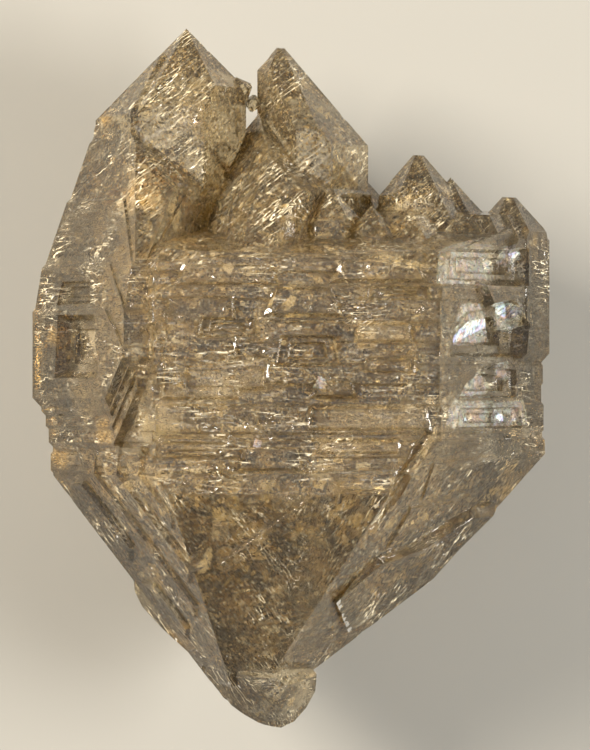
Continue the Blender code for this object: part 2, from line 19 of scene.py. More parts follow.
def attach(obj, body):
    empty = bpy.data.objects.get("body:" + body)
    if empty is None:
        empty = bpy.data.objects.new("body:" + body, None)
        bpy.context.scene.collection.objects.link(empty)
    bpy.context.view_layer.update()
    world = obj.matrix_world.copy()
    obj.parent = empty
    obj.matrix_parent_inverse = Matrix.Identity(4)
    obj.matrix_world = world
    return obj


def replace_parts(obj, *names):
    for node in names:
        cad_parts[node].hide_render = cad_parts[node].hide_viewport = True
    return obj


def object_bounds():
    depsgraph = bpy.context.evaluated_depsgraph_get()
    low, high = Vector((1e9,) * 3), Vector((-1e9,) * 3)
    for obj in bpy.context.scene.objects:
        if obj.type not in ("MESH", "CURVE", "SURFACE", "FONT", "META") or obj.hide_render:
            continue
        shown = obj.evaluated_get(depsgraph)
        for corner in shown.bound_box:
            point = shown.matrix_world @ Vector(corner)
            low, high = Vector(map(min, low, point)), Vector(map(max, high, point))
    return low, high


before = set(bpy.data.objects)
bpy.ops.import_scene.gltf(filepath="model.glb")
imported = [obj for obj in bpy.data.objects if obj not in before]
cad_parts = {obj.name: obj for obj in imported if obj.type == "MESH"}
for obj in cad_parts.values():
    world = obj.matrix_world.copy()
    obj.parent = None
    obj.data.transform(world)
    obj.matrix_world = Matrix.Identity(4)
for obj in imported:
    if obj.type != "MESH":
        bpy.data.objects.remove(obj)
CAD_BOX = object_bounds()

MM = 0.001
UP = Vector((0, 0, 1))
NODE = "quartz_crystal"
LOW = np.array(CAD_BOX[0]) / MM
HIGH = np.array(CAD_BOX[1]) / MM

# Quartz: refractive index, and the brown of smoky quartz as the red, green and blue light that is lost per
# metre of crystal. The density is only the loss at which the shader's colour is black.
QUARTZ_IOR = 1.544
SMOKE_LOSS = (5.5, 10.0, 22.0)
SMOKE_DENSITY = 60.0

# How far each mark on the skin hides the crystal behind it. Pits are etch pits and dust, bruises are tiny
# and white, hairs are thin cracks that reach the skin, the dark ones partly a painted shadow of the pale
# ones, and films lie in cracks right behind it, with their sheen painted on.
PIT_SHARE = 0.34
BRUISE_SHARE = 0.7
HAIR_SHARE = 0.75
STAIN_SHARE = 0.45
FILM_SHARE = 0.36

# How far streaks make the quartz milky, pits are darkened towards the outer edges as painted shade, and
# bruises keep to groups.
STREAK_SHARE = 0.7
PAINTED_SHADE_ON_PITS = 0.06
GROUPING = 0.4

# How many marks of each pattern fit in a millimetre. Those that follow the growth lines have three numbers:
# across the lines, along them and in depth. On real quartz many pits and the roughness of cracks, called
# hackle, are finer. They are drawn as coarse as they need to be to show.
PITS_PER_MM = 4
PIT_ROWS_PER_MM = (7, 1.5, 1.5)
STREAKS_PER_MM = (4, 0.35, 0.5)
BRUISES_PER_MM = (3.6, 1.5, 1.5)
HAIRS_PER_MM = (1.3, 0.11, 0.2)
GROUPS_PER_MM = 0.16
FILM_COLOURS_PER_MM = 0.52
FILM_TEARS_PER_MM = 0.9
HACKLE_PER_MM = 3.6
HEALED_SPOTS_PER_MM = 1.5
DUST_PER_MM = 1.4
MIST_PER_MM = 1.3


def srgb(code):
    """Linear colour of an sRGB hex value."""
    parts = [int(code[place : place + 2], 16) / 255 for place in (1, 3, 5)]
    linear = [part / 12.92 if part <= 0.04045 else ((part + 0.055) / 1.055) ** 2.4 for part in parts]
    return (*linear, 1.0)


def read_grid(values, spots, ease=False):
    """Values of a grid at spots given in its own cells, blended between its points."""
    cell = np.floor(spots).astype(int)
    part = spots - cell
    if ease:
        part = part * part * (3 - 2 * part)
    total = np.zeros(len(spots))
    for corner in itertools.product((0, 1), repeat=3):
        share = np.prod(np.where(corner, part, 1 - part), axis=1)
        total += share * values[tuple((cell + corner).T)]
    return total


def cloud(places, size, seed):
    """Smooth noise from -1 to 1 with bumps about size mm across. size may differ along X, Y and Z."""
    spots = (places - places.min(axis=0)) / size
    shape = tuple(np.floor(spots).astype(int).max(axis=0) + 2)
    return read_grid(np.random.default_rng(seed).uniform(-1, 1, shape), spots, ease=True)


def smooth_step(value, low, high):
    part = np.clip((value - low) / (high - low), 0, 1)
    return part * part * (3 - 2 * part)


def terraces(across, width):
    """Growth lines, from -1 to 1: the surface climbs gently, and every width mm it falls back in a step."""
    part = across / width - np.floor(across / width)
    return np.where(part < CLIMB, part / CLIMB, (1 - part) / (1 - CLIMB)) * 2 - 1


# Growth lines by place: seen from the front they run level on the prism faces, along the lower left and
# lower right edges on the lower faces, and steeply up on the upper points. Each is given by the
# direction that it is measured in, square to the lines. The last two are the levels in Y at which the
# lower faces end and the upper points begin.
LEVEL_LINES = (0.0, 1.0)
LOWER_LEFT_LINES = (0.80, 0.60)
LOWER_RIGHT_LINES = (-0.82, 0.57)
UPPER_LINES = (-0.62, 0.78)
LOWER_FACES_TOP = -10.0
POINTS_BOTTOM = 18.0

# The part of each growth line's width over which it climbs.
CLIMB = 0.86


def line_weights(places, normals):
    """How far each vertex belongs to the level, lower left, lower right and upper lines."""
    slope = smooth_step(np.abs(normals[:, 1]), 0.25, 0.5)
    low = slope * smooth_step(-places[:, 1], -LOWER_FACES_TOP - 6, -LOWER_FACES_TOP + 2)
    high = np.maximum(slope * (1 - low), smooth_step(places[:, 1], POINTS_BOTTOM, POINTS_BOTTOM + 6))
    high *= 1 - low
    right = smooth_step(places[:, 0] + 3 * cloud(places, 9.0, 11), -2.0, 4.0)
    level = np.clip(1 - low - high, 0, 1)
    return level, low * (1 - right), low * right, high


def line_places(places, normals):
    """Each vertex's place across the growth lines, along them and in depth."""
    warp = 1.6 * cloud(places, 17.0, 12) + 0.5 * cloud(places, 5.0, 13)
    across, along = np.zeros(len(places)), np.zeros(len(places))
    sets = (LEVEL_LINES, LOWER_LEFT_LINES, LOWER_RIGHT_LINES, UPPER_LINES)
    for share, (side, rise) in zip(line_weights(places, normals), sets):
        across += share * (places[:, 0] * side + places[:, 1] * rise)
        along += share * (places[:, 0] * rise - places[:, 1] * side)
    return np.stack([across + warp * 0.35, along, places[:, 2]], axis=1)


# The body's fine surface: the longest edge of its triangles, and the angle from which an edge is sharp.
EDGE_MM = 1.08
SHARP = math.radians(9)

# The relief of the growth lines and the slow waves, each with its width and its height, and how deep the
# middle of the relief lies under the solid's own faces. At sharp edges only a part of it is left.
COARSE_LINE_MM = 1.9
COARSE_RISE_MM = 0.035
FINE_LINE_MM = 0.7
FINE_RISE_MM = 0.012
WIDE_WAVE_MM = 9.0
WIDE_WAVE_RISE_MM = 0.06
SMALL_WAVE_MM = 3.6
SMALL_WAVE_RISE_MM = 0.018
SUNK_MM = 0.05
EDGE_SHARE = 0.25

# Chips along the sharp edges: how wide they are, how far apart their groups are, and how deep they go.
CHIP_MM = 1.3
CHIP_GROUP_MM = 4.0
CHIP_DEPTH_MM = 0.22


def fine_copy(node):
    """The solid's mesh in mm, cut into small even triangles. Its flat faces and sharp edges stay."""
    shape = bmesh.new()
    shape.from_mesh(node.data)
    bmesh.ops.scale(shape, verts=shape.verts[:], vec=(1 / MM,) * 3)
    bmesh.ops.remove_doubles(shape, verts=shape.verts[:], dist=0.002)
    for longest in (14, 7, 3.6, 1.9, 1.4, EDGE_MM):
        edges = [edge for edge in shape.edges if edge.calc_length() > longest]
        bmesh.ops.subdivide_edges(shape, edges=edges, cuts=1)
        bmesh.ops.triangulate(shape, faces=shape.faces[:])
        flat = [edge for edge in shape.edges if edge.is_manifold and edge.calc_face_angle() < 0.001]
        bmesh.ops.beautify_fill(shape, faces=shape.faces[:], edges=flat, method="ANGLE")
    return shape


def relief(places, normals):
    """How far the fine surface stands off the solid, in mm: growth lines, shallow plates and slow waves."""
    grown = line_places(places, normals)
    across = grown[:, 0]
    stretched = cloud(grown, (2.2, 9.0, 9.0), 21)
    coarse = terraces(across + 0.8 * stretched, COARSE_LINE_MM)
    fine = terraces(across + 0.4 * cloud(grown, (1.5, 5.0, 5.0), 22), FINE_LINE_MM)
    patchy = smooth_step(cloud(places, 6.0, 23), -0.5, 0.5)
    waves = WIDE_WAVE_RISE_MM * cloud(places, WIDE_WAVE_MM, 24)
    waves += SMALL_WAVE_RISE_MM * cloud(places, SMALL_WAVE_MM, 25)
    return waves + COARSE_RISE_MM * coarse * patchy + FINE_RISE_MM * fine * patchy - SUNK_MM


def mesh_arrays(shape):
    """The places and normals of a shape's vertices."""
    shape.normal_update()
    places = np.array([vertex.co[:] for vertex in shape.verts])
    normals = np.array([vertex.normal[:] for vertex in shape.verts])
    return places, normals


def displace(shape):
    """Moves the vertices by the relief. A sharp edge keeps its line, apart from small chips."""
    places, normals = mesh_arrays(shape)
    height = relief(places, normals)
    sharp = np.zeros(len(places))
    for edge in shape.edges:
        if edge.calc_face_angle(0) > SHARP:
            for vertex in edge.verts:
                sharp[vertex.index] = 1
    chips = smooth_step(cloud(places, CHIP_MM, 31) + 0.6 * cloud(places, CHIP_GROUP_MM, 32), 0.55, 0.95)
    height = np.where(sharp > 0, EDGE_SHARE * height - CHIP_DEPTH_MM * chips, height)
    moved = np.clip(places + normals * height[:, None], LOW, HIGH)
    for vertex, place in zip(shape.verts, moved):
        vertex.co = place


# Cracks: thin lens-shaped gaps inside the crystal. (how many, smallest and largest radius, segments, seed)
CRACKS = [
    (140, 2.2, 5.5, 12, 41),
    (420, 0.9, 2.2, 8, 42),
]

# The quartz left over each crack, the depth over which cracks thin out, half the thickness of a crack of
# 1 mm radius, how uneven its rim is, how far it may bend, and how narrow it may be against its length.
CRACK_ROOM = 0.5
CRACK_REACH = 30.0
CRACK_THICKNESS = 0.05
CRACK_UNEVEN = 0.25
CRACK_BEND = 0.25
CRACK_NARROWEST = 0.45

# The rings of a crack's lens, from its middle to its rim, as shares of its radius.
CRACK_RINGS = (0.0, 0.55, 1.0)

# The grid on which depths are measured, and how far a ray moves aside when it slips past an edge.
GRID_MM = 1.0
GRID_NUDGE = Vector((0.013, 0.017, 0.0))

# Added to the seed of the places of cracks or flakes, for their shapes.
SHAPE_SEED = 100

# A span of Y that reaches past both ends of the crystal.
WHOLE_SPAN = (-100.0, 100.0)


def crossings(tree, foot):
    """How high the skin lies at each crossing straight above a foot. A closed skin is crossed an even
    number of times. A ray that slips past an edge finds an odd number, and starts again a little aside."""
    for nudge in range(1, 8):
        heights = []
        start = foot + GRID_NUDGE * nudge
        hit = tree.ray_cast(start, UP)[0]
        while hit is not None:
            heights.append(hit.z)
            hit = tree.ray_cast(hit + UP * 0.001, UP)[0]
        if len(heights) % 2 == 0:
            return heights
    return []


def depth_field(tree):
    """How deep each point of a grid lies under the skin, in mm. It's negative outside."""
    counts = tuple(np.ceil((HIGH - LOW) / GRID_MM).astype(int) + 3)
    field = np.zeros(counts)
    for i, j in np.ndindex(counts[:2]):
        foot = Vector(LOW - GRID_MM) + Vector((i, j, 0)) * GRID_MM
        heights = crossings(tree, foot)
        for k in range(counts[2]):
            place = foot + UP * (k * GRID_MM)
            gap = tree.find_nearest(place)[3]
            above = sum(height > place.z for height in heights)
            field[i, j, k] = gap if above % 2 else -gap
    return field


def depth_at(field, places):
    """The depth field's value at each place."""
    return read_grid(field, (places - LOW) / GRID_MM + 1)


def scatter(field, count, sizes, room, reach, seed, propose=None, span=WHOLE_SPAN):
    """Places, sizes and lean inside the crystal. Each has room round it, and they thin out over the depth
    reach. propose gives places, and the normals that they lean to. span is the range of Y."""
    chance = np.random.default_rng(seed)
    kept = np.zeros((0, 7))
    while len(kept) < count:
        if propose:
            places, lean = propose(count, chance)
        else:
            places, lean = chance.uniform(LOW, HIGH, (count, 3)), np.zeros((count, 3))
        size = sizes[0] * (sizes[1] / sizes[0]) ** (chance.random(count) ** 1.5)
        inner = np.all((places > LOW) & (places < HIGH), axis=1)
        inner &= (places[:, 1] > span[0]) & (places[:, 1] < span[1])
        depth = depth_at(field, np.clip(places, LOW, HIGH))
        near = inner & (depth > size + room) & (chance.random(count) < np.exp(-depth / reach))
        kept = np.concatenate([kept, np.column_stack([places, size, lean])[near]])
    return kept[:count]


def crack(shape, place, radius, segments, chance):
    """Adds a bent, uneven lens whose skin faces inwards, because it is a gap in the crystal."""
    tilt = Vector(chance.normal(size=3)) * Vector((0.8, 1.0, 0.9))
    turn = tilt.to_track_quat("Z", "Y").to_matrix()
    bend = chance.uniform(-CRACK_BEND, CRACK_BEND) / radius
    reach = radius * (1 + CRACK_UNEVEN * chance.uniform(-1, 1, segments))
    stretch = chance.uniform(CRACK_NARROWEST, 1.0)
    rings = []
    for share in CRACK_RINGS:
        rims = []
        for side in (1, -1) if share < 1 else (1,):
            rim = []
            for step in range(segments if share > 0 else 1):
                angle = math.tau * step / segments
                flat = Vector((math.cos(angle), stretch * math.sin(angle), 0)) * reach[step] * share
                thick = side * CRACK_THICKNESS * (1 - share**2) * radius**0.5
                flat.z = bend * flat.length_squared + thick
                rim.append(shape.verts.new(place + turn @ flat))
            rims.append(rim)
        rings.append(rims)
    edge = rings[2][0]
    for side, outward in ((0, False), (1, True)):
        centre, middle = rings[0][side][0], rings[1][side]
        for step in range(segments):
            after = (step + 1) % segments
            faces = [
                (centre, middle[step], middle[after]),
                (middle[step], edge[step], edge[after]),
                (middle[step], edge[after], middle[after]),
            ]
            for face in faces:
                shape.faces.new(face if outward else face[::-1])


def add_cracks(shape, field):
    """Adds the cracks, largest first, each clear of those before it."""
    taken = []
    for count, small, large, segments, seed in CRACKS:
        chance = np.random.default_rng(seed + SHAPE_SEED)
        for x, y, z, radius, *_ in scatter(field, count, (small, large), CRACK_ROOM, CRACK_REACH, seed):
            place = Vector((x, y, z))
            if all((place - other).length > (radius + size) * 0.8 for other, size in taken):
                crack(shape, place, radius, segments, chance)
                taken.append((place, radius))


# Materials.
def add(tree, kind, inputs=None, **settings):
    """Adds a node. settings are its properties, and inputs its sockets: values, or sockets to link."""
    node = tree.nodes.new("ShaderNode" + kind)
    for name, value in settings.items():
        setattr(node, name, value)
    for name, value in (inputs or {}).items():
        socket = node.inputs[name]
        if isinstance(value, bpy.types.NodeSocket):
            tree.links.new(value, socket)
        else:
            socket.default_value = value
    return node


def along_lines(tree, marks):
    """Coordinates that follow the growth lines, for a pattern with this many marks in a millimetre."""
    lines = add(tree, "Attribute", attribute_name="growth").outputs["Vector"]
    return add(tree, "Mapping", {"Vector": lines, "Scale": marks}).outputs["Vector"]


def blank_material(name):
    """A material with no nodes yet."""
    material = bpy.data.materials.new(name)
    material.use_nodes = True
    material.node_tree.nodes.clear()
    return material


def band(tree, pattern, middle, half):
    """1 where a pattern is at a value, falling to 0 on both sides: thin lines, like contours on a map."""
    away = add(tree, "Math", {0: pattern, 1: middle}, operation="SUBTRACT").outputs[0]
    away = add(tree, "Math", {0: away}, operation="ABSOLUTE").outputs[0]
    return add(tree, "MapRange", {"Value": away, "From Min": half, "From Max": half / 2}).outputs["Result"]


def film_sheen_colours(tree, place):
    """The painted sheen of a crack as thin as an oil film, the light it reflects painted as colour: cream
    and white, with some rose, blue and green.
    """
    film_sheen = add(tree, "TexNoise", {
        "Vector": place,
        "Scale": FILM_COLOURS_PER_MM / MM,
        "Detail": 2.0,
        "Distortion": 0.8,
    })
    ramp = add(tree, "ValToRGB", {"Fac": film_sheen.outputs["Fac"]})
    steps = ramp.color_ramp.elements
    steps[0].position, steps[0].color = 0.32, srgb("#efe0c6")
    steps[1].position, steps[1].color = 0.70, srgb("#efe4c4")
    for spot, code in ((0.40, "#e6c6bf"), (0.47, "#c0c6ea"), (0.54, "#c9e2de"), (0.62, "#fbf7ee")):
        steps.new(spot).color = srgb(code)
    return ramp.outputs["Color"]


def pit_pattern(tree, place, sloping):
    """Etch pits and dust: scattered on the level front faces, and in rows along the growth lines on sloping
    ones. Towards the outer edges, as painted shade, fewer are pale and more are dark."""
    loose = add(tree, "TexNoise", {
        "Vector": place,
        "Scale": PITS_PER_MM / MM,
        "Detail": 3.0,
        "Roughness": 0.7,
    }).outputs["Fac"]
    rows = along_lines(tree, PIT_ROWS_PER_MM)
    lined = add(tree, "TexNoise", {"Vector": rows, "Scale": 1.0, "Detail": 3.0, "Roughness": 0.6})
    both = add(tree, "Mix", {"Factor": sloping, 2: loose, 3: lined.outputs["Fac"]}).outputs[0]
    # Painted shade towards the outer edges: fewer pale pits and more dark ones.
    shaded = add(tree, "Attribute", attribute_name="painted_shade").outputs["Fac"]
    return add(tree, "Math", {0: shaded, 1: -PAINTED_SHADE_ON_PITS, 2: both}, operation="MULTIPLY_ADD").outputs[0]


def bruise_pattern(tree, group):
    """Short white slivers along the growth lines, in groups."""
    slivers = along_lines(tree, BRUISES_PER_MM)
    bruise = add(tree, "TexNoise", {"Vector": slivers, "Scale": 1.0, "Detail": 2.0, "Distortion": 0.6})
    grouped = {0: group, 1: GROUPING, 2: bruise.outputs["Fac"]}
    return add(tree, "Math", grouped, operation="MULTIPLY_ADD").outputs[0]


def hair_cracks(tree, group):
    """Thin cracks along the growth lines, first the pale and then the dark ones. The pale ones lie where
    the group pattern is high, and the dark ones where it is low. Where both lie, each dark line runs just
    beside a pale one as its painted shadow."""
    long = along_lines(tree, HAIRS_PER_MM)
    hair = add(tree, "TexNoise", {"Vector": long, "Scale": 1.0, "Detail": 3.0, "Roughness": 0.45})
    cracks = []
    for middle, half, begin, full in ((0.50, 0.010, 0.47, 0.60), (0.54, 0.012, 0.52, 0.40)):
        lines = band(tree, hair.outputs["Fac"], middle, half)
        here = add(tree, "MapRange", {"Value": group, "From Min": begin, "From Max": full})
        both = {0: lines, 1: here.outputs["Result"]}
        cracks.append(add(tree, "Math", both, operation="MULTIPLY").outputs[0])
    return cracks


def torn_film(tree, place):
    """Silvery film with a torn edge, its sheen painted on: past 1 where the painted film is."""
    film_sheen = add(tree, "Attribute", attribute_name="film_sheen").outputs["Fac"]
    torn = add(tree, "TexNoise", {
        "Vector": place,
        "Scale": FILM_TEARS_PER_MM / MM,
        "Detail": 5.0,
        "Roughness": 0.7,
    })
    return add(tree, "Math", {0: film_sheen, 1: torn.outputs["Fac"]}, operation="ADD").outputs[0]


def smoky_quartz():
    """Smoky quartz with natural growth faces: glossy and clear where whole, cloudy where it cracked."""
    material = blank_material("grown_quartz")
    tree = material.node_tree
    place = add(tree, "TexCoord").outputs["Object"]
    milk, stain, sloping = (
        add(tree, "Attribute", attribute_name=name).outputs["Fac"] for name in ("milk", "stain", "sloping")
    )

    # Milky streaks along the growth lines make it cloudy, and less clear.
    streaks = along_lines(tree, STREAKS_PER_MM)
    streak = add(tree, "TexNoise", {"Vector": streaks, "Scale": 1.0, "Detail": 4.0, "Roughness": 0.6})
    streak = streak.outputs["Fac"]
    broken = add(tree, "Math", {0: streak, 1: 0.5}, operation="SUBTRACT").outputs[0]
    milky = {0: broken, 1: STREAK_SHARE, 2: milk}
    cloudy = add(tree, "Math", milky, operation="MULTIPLY_ADD", use_clamp=True).outputs[0]
    clear = add(tree, "MapRange", {"Value": cloudy, "To Min": 1.0, "To Max": 0.9}).outputs["Result"]

    # The tint that the skin gives to what is seen through it: warmer on cloudy and stained quartz, and
    # darker and warmer on sloping faces as painted shade.
    tone = srgb("#f6f0e4")
    for pattern, code in ((sloping, "#e2d5b8"), (cloudy, "#b0986c"), (stain, "#b9924e")):
        tints = {"Factor": pattern, 6: tone, 7: srgb(code)}
        tone = add(tree, "Mix", tints, data_type="RGBA").outputs[2]

    # Marks on the skin: the pattern, the values at which a mark begins and is full, its colour and share.
    pits = pit_pattern(tree, place, sloping)
    groups = add(tree, "TexNoise", {"Vector": place, "Scale": GROUPS_PER_MM / MM, "Detail": 3.0})
    group = groups.outputs["Fac"]
    pale_hair, dark_hair_and_shadow = hair_cracks(tree, group)
    marks = (
        (stain, 0.25, 0.9, srgb("#bd9650"), STAIN_SHARE),
        # The film over the silvery cracks: painted sheen.
        (torn_film(tree, place), 1.30, 1.75, film_sheen_colours(tree, place), FILM_SHARE),
        (pits, 0.55, 0.64, srgb("#dfcea4"), PIT_SHARE),
        (pits, 0.46, 0.36, srgb("#3a2c17"), PIT_SHARE),
        # Dark cracks, and a painted shadow beside the pale ones.
        (dark_hair_and_shadow, 0.0, 1.0, srgb("#3a2c17"), HAIR_SHARE),
        (pale_hair, 0.0, 1.0, srgb("#f5e6c2"), HAIR_SHARE),
        (bruise_pattern(tree, group), 0.93, 0.98, srgb("#fffaf0"), BRUISE_SHARE),
    )
    for pattern, begin, full, colour, share in marks:
        span = {"Value": pattern, "From Min": begin, "From Max": full}
        mark = add(tree, "MapRange", span).outputs["Result"]
        tone = add(tree, "Mix", {"Factor": mark, 6: tone, 7: colour}, data_type="RGBA").outputs[2]
        hidden = {0: mark, 1: -share, 2: clear}
        clear = add(tree, "Math", hidden, operation="MULTIPLY_ADD", use_clamp=True).outputs[0]

    matt = add(tree, "MapRange", {"Value": cloudy, "To Min": 0.02, "To Max": 0.16}).outputs["Result"]
    deep = add(tree, "MapRange", {"Value": sloping, "To Min": 0.10, "To Max": 0.2}).outputs["Result"]
    bump = add(tree, "Bump", {"Height": streak, "Strength": deep, "Distance": 0.12 * MM}).outputs["Normal"]
    skin = add(tree, "BsdfPrincipled", {
        "Base Color": tone,
        "Roughness": matt,
        "IOR": QUARTZ_IOR,
        "Transmission Weight": clear,
        "Normal": bump,
    })
    tint = tuple(1 - loss / SMOKE_DENSITY for loss in SMOKE_LOSS)
    smoke = add(tree, "VolumeAbsorption", {"Color": (*tint, 1.0), "Density": SMOKE_DENSITY})
    add(tree, "OutputMaterial", {"Surface": skin.outputs["BSDF"], "Volume": smoke.outputs["Volume"]})
    return material


def paint(mesh, name, values):
    """Stores a number or a vector for each vertex. Vertices past the last value get 0."""
    values = np.asarray(values, np.float32)
    every = np.zeros((len(mesh.vertices), *values.shape[1:]), np.float32)
    every[: len(values)] = values
    kind, key = ("FLOAT_VECTOR", "vector") if values.ndim == 2 else ("FLOAT", "value")
    mesh.attributes.new(name, kind, "POINT").data.foreach_set(key, every.ravel())


def add_piece(name, mesh, material):
    """An object that rides with the crystal."""
    mesh.materials.append(material)
    piece = bpy.data.objects.new(name, mesh)
    bpy.context.scene.collection.objects.link(piece)
    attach(piece, "root")
    return piece


def milky_parts(places, growth):
    """How cloudy the skin is at each place, from 0 to 1: in wide and small patches, and along the lines."""
    patches = 0.12 + 0.25 * cloud(places, 12.0, 51) + 0.2 * cloud(places, 4.5, 52)
    return np.clip(patches + 0.2 * cloud(growth, (1.2, 7.0, 7.0), 53), 0, 1)


def make_body():
    """The whole crystal, with its fine surface and the cracks in it. Returns its depth field and skin."""
    shape = fine_copy(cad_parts[NODE])
    displace(shape)
    places, normals = mesh_arrays(shape)
    skin_tree = BVHTree.FromBMesh(shape)
    field = depth_field(skin_tree)
    growth = line_places(places, normals)
    add_cracks(shape, field)
    for face in shape.faces:
        face.smooth = True
    bmesh.ops.scale(shape, verts=shape.verts[:], vec=(MM,) * 3)
    mesh = bpy.data.meshes.new("quartz_body")
    shape.to_mesh(mesh)
    shape.free()
    mesh.set_sharp_from_angle(angle=SHARP)

    # The skin's vertices come first, and the cracks, which follow, are left unpainted.
    paint(mesh, "milk", milky_parts(places, growth))
    paint(mesh, "stain", 0.7 * iron_stain(places))
    paint(mesh, "growth", growth)
    paint(mesh, "film_sheen", silvery_film(places, normals))
    # Painted shade: darker towards the outer edges.
    paint(mesh, "painted_shade", painted_shade(places))
    paint(mesh, "sloping", 1 - smooth_step(np.abs(normals[:, 2]), 0.85, 0.95))
    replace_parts(add_piece("quartz_body", mesh, smoky_quartz()), NODE)
    return field, skin_tree


# Flakes: small flat cracks, each of which catches the light at its own angle. Part of them lie along
# healed fractures: wide, gently bent sheets that cross the crystal.
@dataclass
class Flakes:
    """One size of flake. room is the quartz over each, and reach the depth over which they thin out. lined
    is the share on healed fractures, and gathered the share where cracks cluster. tone is how bright they
    are, from 0 for black to 1 for white, spread how far that differs, and span the range of Y they fill."""

    name: str
    count: int
    sizes: tuple
    corners: int
    thickness: float
    room: float
    reach: float
    lined: float
    gathered: float
    tone: float
    spread: float
    seed: int
    span: tuple = WHOLE_SPAN


# The spans of Y of the upper points and of the broken tip.
POINTS_SPAN = (19.0, 100.0)
TIP_SPAN = (-100.0, -36.0)

FLAKES = [
    # The first row, tiny white flakes just under the skin, are painted glints that stand in for sparkle.
    Flakes("painted_glints", 4600, (0.07, 0.28), 5, 0.012, 0.05, 0.7, 0.3, 0.35, 1.05, 0.3, 66),
    Flakes("glints_near", 18500, (0.08, 0.34), 5, 0.015, 0.25, 2.6, 0.3, 0.04, 0.55, 0.8, 61),
    Flakes("glints_next", 16500, (0.10, 0.45), 5, 0.02, 0.7, 6.0, 0.5, 0.0, 0.57, 0.6, 62),
    Flakes("glints_in_points", 11500, (0.1, 0.6), 5, 0.02, 0.25, 6, 0.4, 0.06, 0.45, 0.9, 65, POINTS_SPAN),
    Flakes("glints_in_tip", 1800, (0.1, 0.5), 5, 0.02, 0.2, 5.0, 0.3, 0.0, 0.45, 0.9, 67, TIP_SPAN),
    Flakes("glints_deep", 19500, (0.16, 0.80), 5, 0.03, 2.0, 14.0, 0.8, 0.0, 0.57, 0.35, 63),
    Flakes("veils", 5000, (0.7, 2.6), 9, 0.03, 3.0, 16.0, 0.8, 0.0, 0.59, 0.3, 64),
]

# Healed fractures: how many, their smallest and largest size, and how rough they are.
SHEETS = 170
SHEET_SIZES = (3.0, 13.0)
SHEET_ROUGHNESS = 0.25
SHEET_SEED = 60

# How far a flake leans as its sheet does, and how far its long side strays from the growth lines.
LEAN_SHARE = 2.6
STRAY_SHARE = 0.55

# How a flake's tone differs: raised as a painted highlight where cracks cluster, lowered as painted shade
# towards the outer edges, and in patches.
PAINTED_HIGHLIGHT_GAIN = 0.5
PAINTED_SHADE_LOSS = 0.80
PATCH_GAIN = 0.14
PATCH_MM = 7.0

# Painted shade: seen from the front, the crystal is painted darker between two distances from its middle
# line. Below a level it narrows, so there the painted shade starts nearer the middle by a share of the
# drop, down to a longest drop.
DARKENS_FROM = 17
DARK_AT = 30
NARROWS_BELOW = 12
NARROWING = 0.75
LONGEST_DROP = 30

# Where cracks cluster and shine, their tone raised as a painted highlight, and where iron has stained
# them: (x, y, radius) seen from the front.
BRIGHT_SPOTS = [
    (-12.8, 35.0, 2.6),
    (-11.2, 32.4, 2.0),
    (11.8, 15.9, 2.4),
    (22.4, 15.0, 3.4),
    (-9.0, -3.0, 3.6),
    (-19.0, -13.2, 3.2),
    (-5.6, -8.9, 1.2),
    (5.2, -0.2, 2.2),
    (16.8, 21.9, 2.8),
    (19.0, -7.6, 1.4),
    (-7.4, -36.0, 3.2),
    (-1.6, -42.0, 2.2),
]
GOLD_SPOTS = [
    (-24.6, 34.6, 1.3),
    (-19.6, 24.4, 3.4),
    (-31.2, 5.6, 2.0),
    (-24.2, -7.0, 2.8),
    (-30.6, -10.4, 2.4),
    (33.4, -9.0, 2.4),
    (29.6, -15.0, 3.2),
    (-15.0, -35.0, 3.2),
    (-8.9, 28.0, 1.2),
    (31.6, 18.6, 1.8),
]


def silvery_film(places, normals):
    """1 on the front skin over the silvery cracks, where their sheen is painted, and 0 elsewhere."""
    covered = np.zeros(len(places), bool)
    for outline, _ in PANES:
        within = np.zeros(len(places), bool)
        for (x, y), (next_x, next_y) in zip(outline, outline[1:] + outline[:1]):
            level = (places[:, 1] > y) != (places[:, 1] > next_y)
            reach = x + (next_x - x) * (places[:, 1] - y) / ((next_y - y) or 1e-9)
            within ^= level & (places[:, 0] < reach)
        covered |= within
    return (covered & (normals[:, 2] > 0.3)).astype(float)


def near_spots(places, spots):
    """From 0 to 1, how near each place is to one of the spots."""
    nearest = np.zeros(len(places))
    for x, y, radius in spots:
        away = np.hypot(places[:, 0] - x, places[:, 1] - y) / radius
        nearest = np.maximum(nearest, 1 - smooth_step(away, 0.35, 1.25))
    return nearest


def painted_shade(places):
    """How dark the crystal is painted at each place, from 0 to 1: painted shade, darkest towards its outer
    edges.
    """
    narrowing = NARROWING * np.clip(-places[:, 1] - NARROWS_BELOW, 0, LONGEST_DROP)
    return smooth_step(np.abs(places[:, 0]) + narrowing, DARKENS_FROM, DARK_AT)


def iron_stain(places):
    """How far iron has stained the quartz at each place, from 0 to 1."""
    ragged = 0.55 + 0.45 * cloud(places, 1.4, 55)
    elsewhere = smooth_step(cloud(places, 8.0, 54) + 0.4 * cloud(places, 2.0, 56), 0.85, 1.1)
    return np.clip(near_spots(places, GOLD_SPOTS) * ragged * 1.3 + 0.6 * elsewhere, 0, 1)


def unit(vectors):
    """The vectors at length 1."""
    return vectors / np.maximum(np.linalg.norm(vectors, axis=-1, keepdims=True), 1e-9)


def healed_fractures():
    """Centre, two sides, normal, size and bend of each sheet."""
    chance = np.random.default_rng(SHEET_SEED)
    normal = unit(chance.normal(size=(SHEETS, 3)) * (0.9, 1.0, 0.8))
    side = unit(np.cross(normal, chance.normal(size=(SHEETS, 3))))
    size = SHEET_SIZES[0] * (SHEET_SIZES[1] / SHEET_SIZES[0]) ** (chance.random(SHEETS) ** 1.4)
    bend = chance.uniform(-0.03, 0.03, SHEETS)
    return chance.uniform(LOW, HIGH, (SHEETS, 3)), side, np.cross(normal, side), normal, size, bend


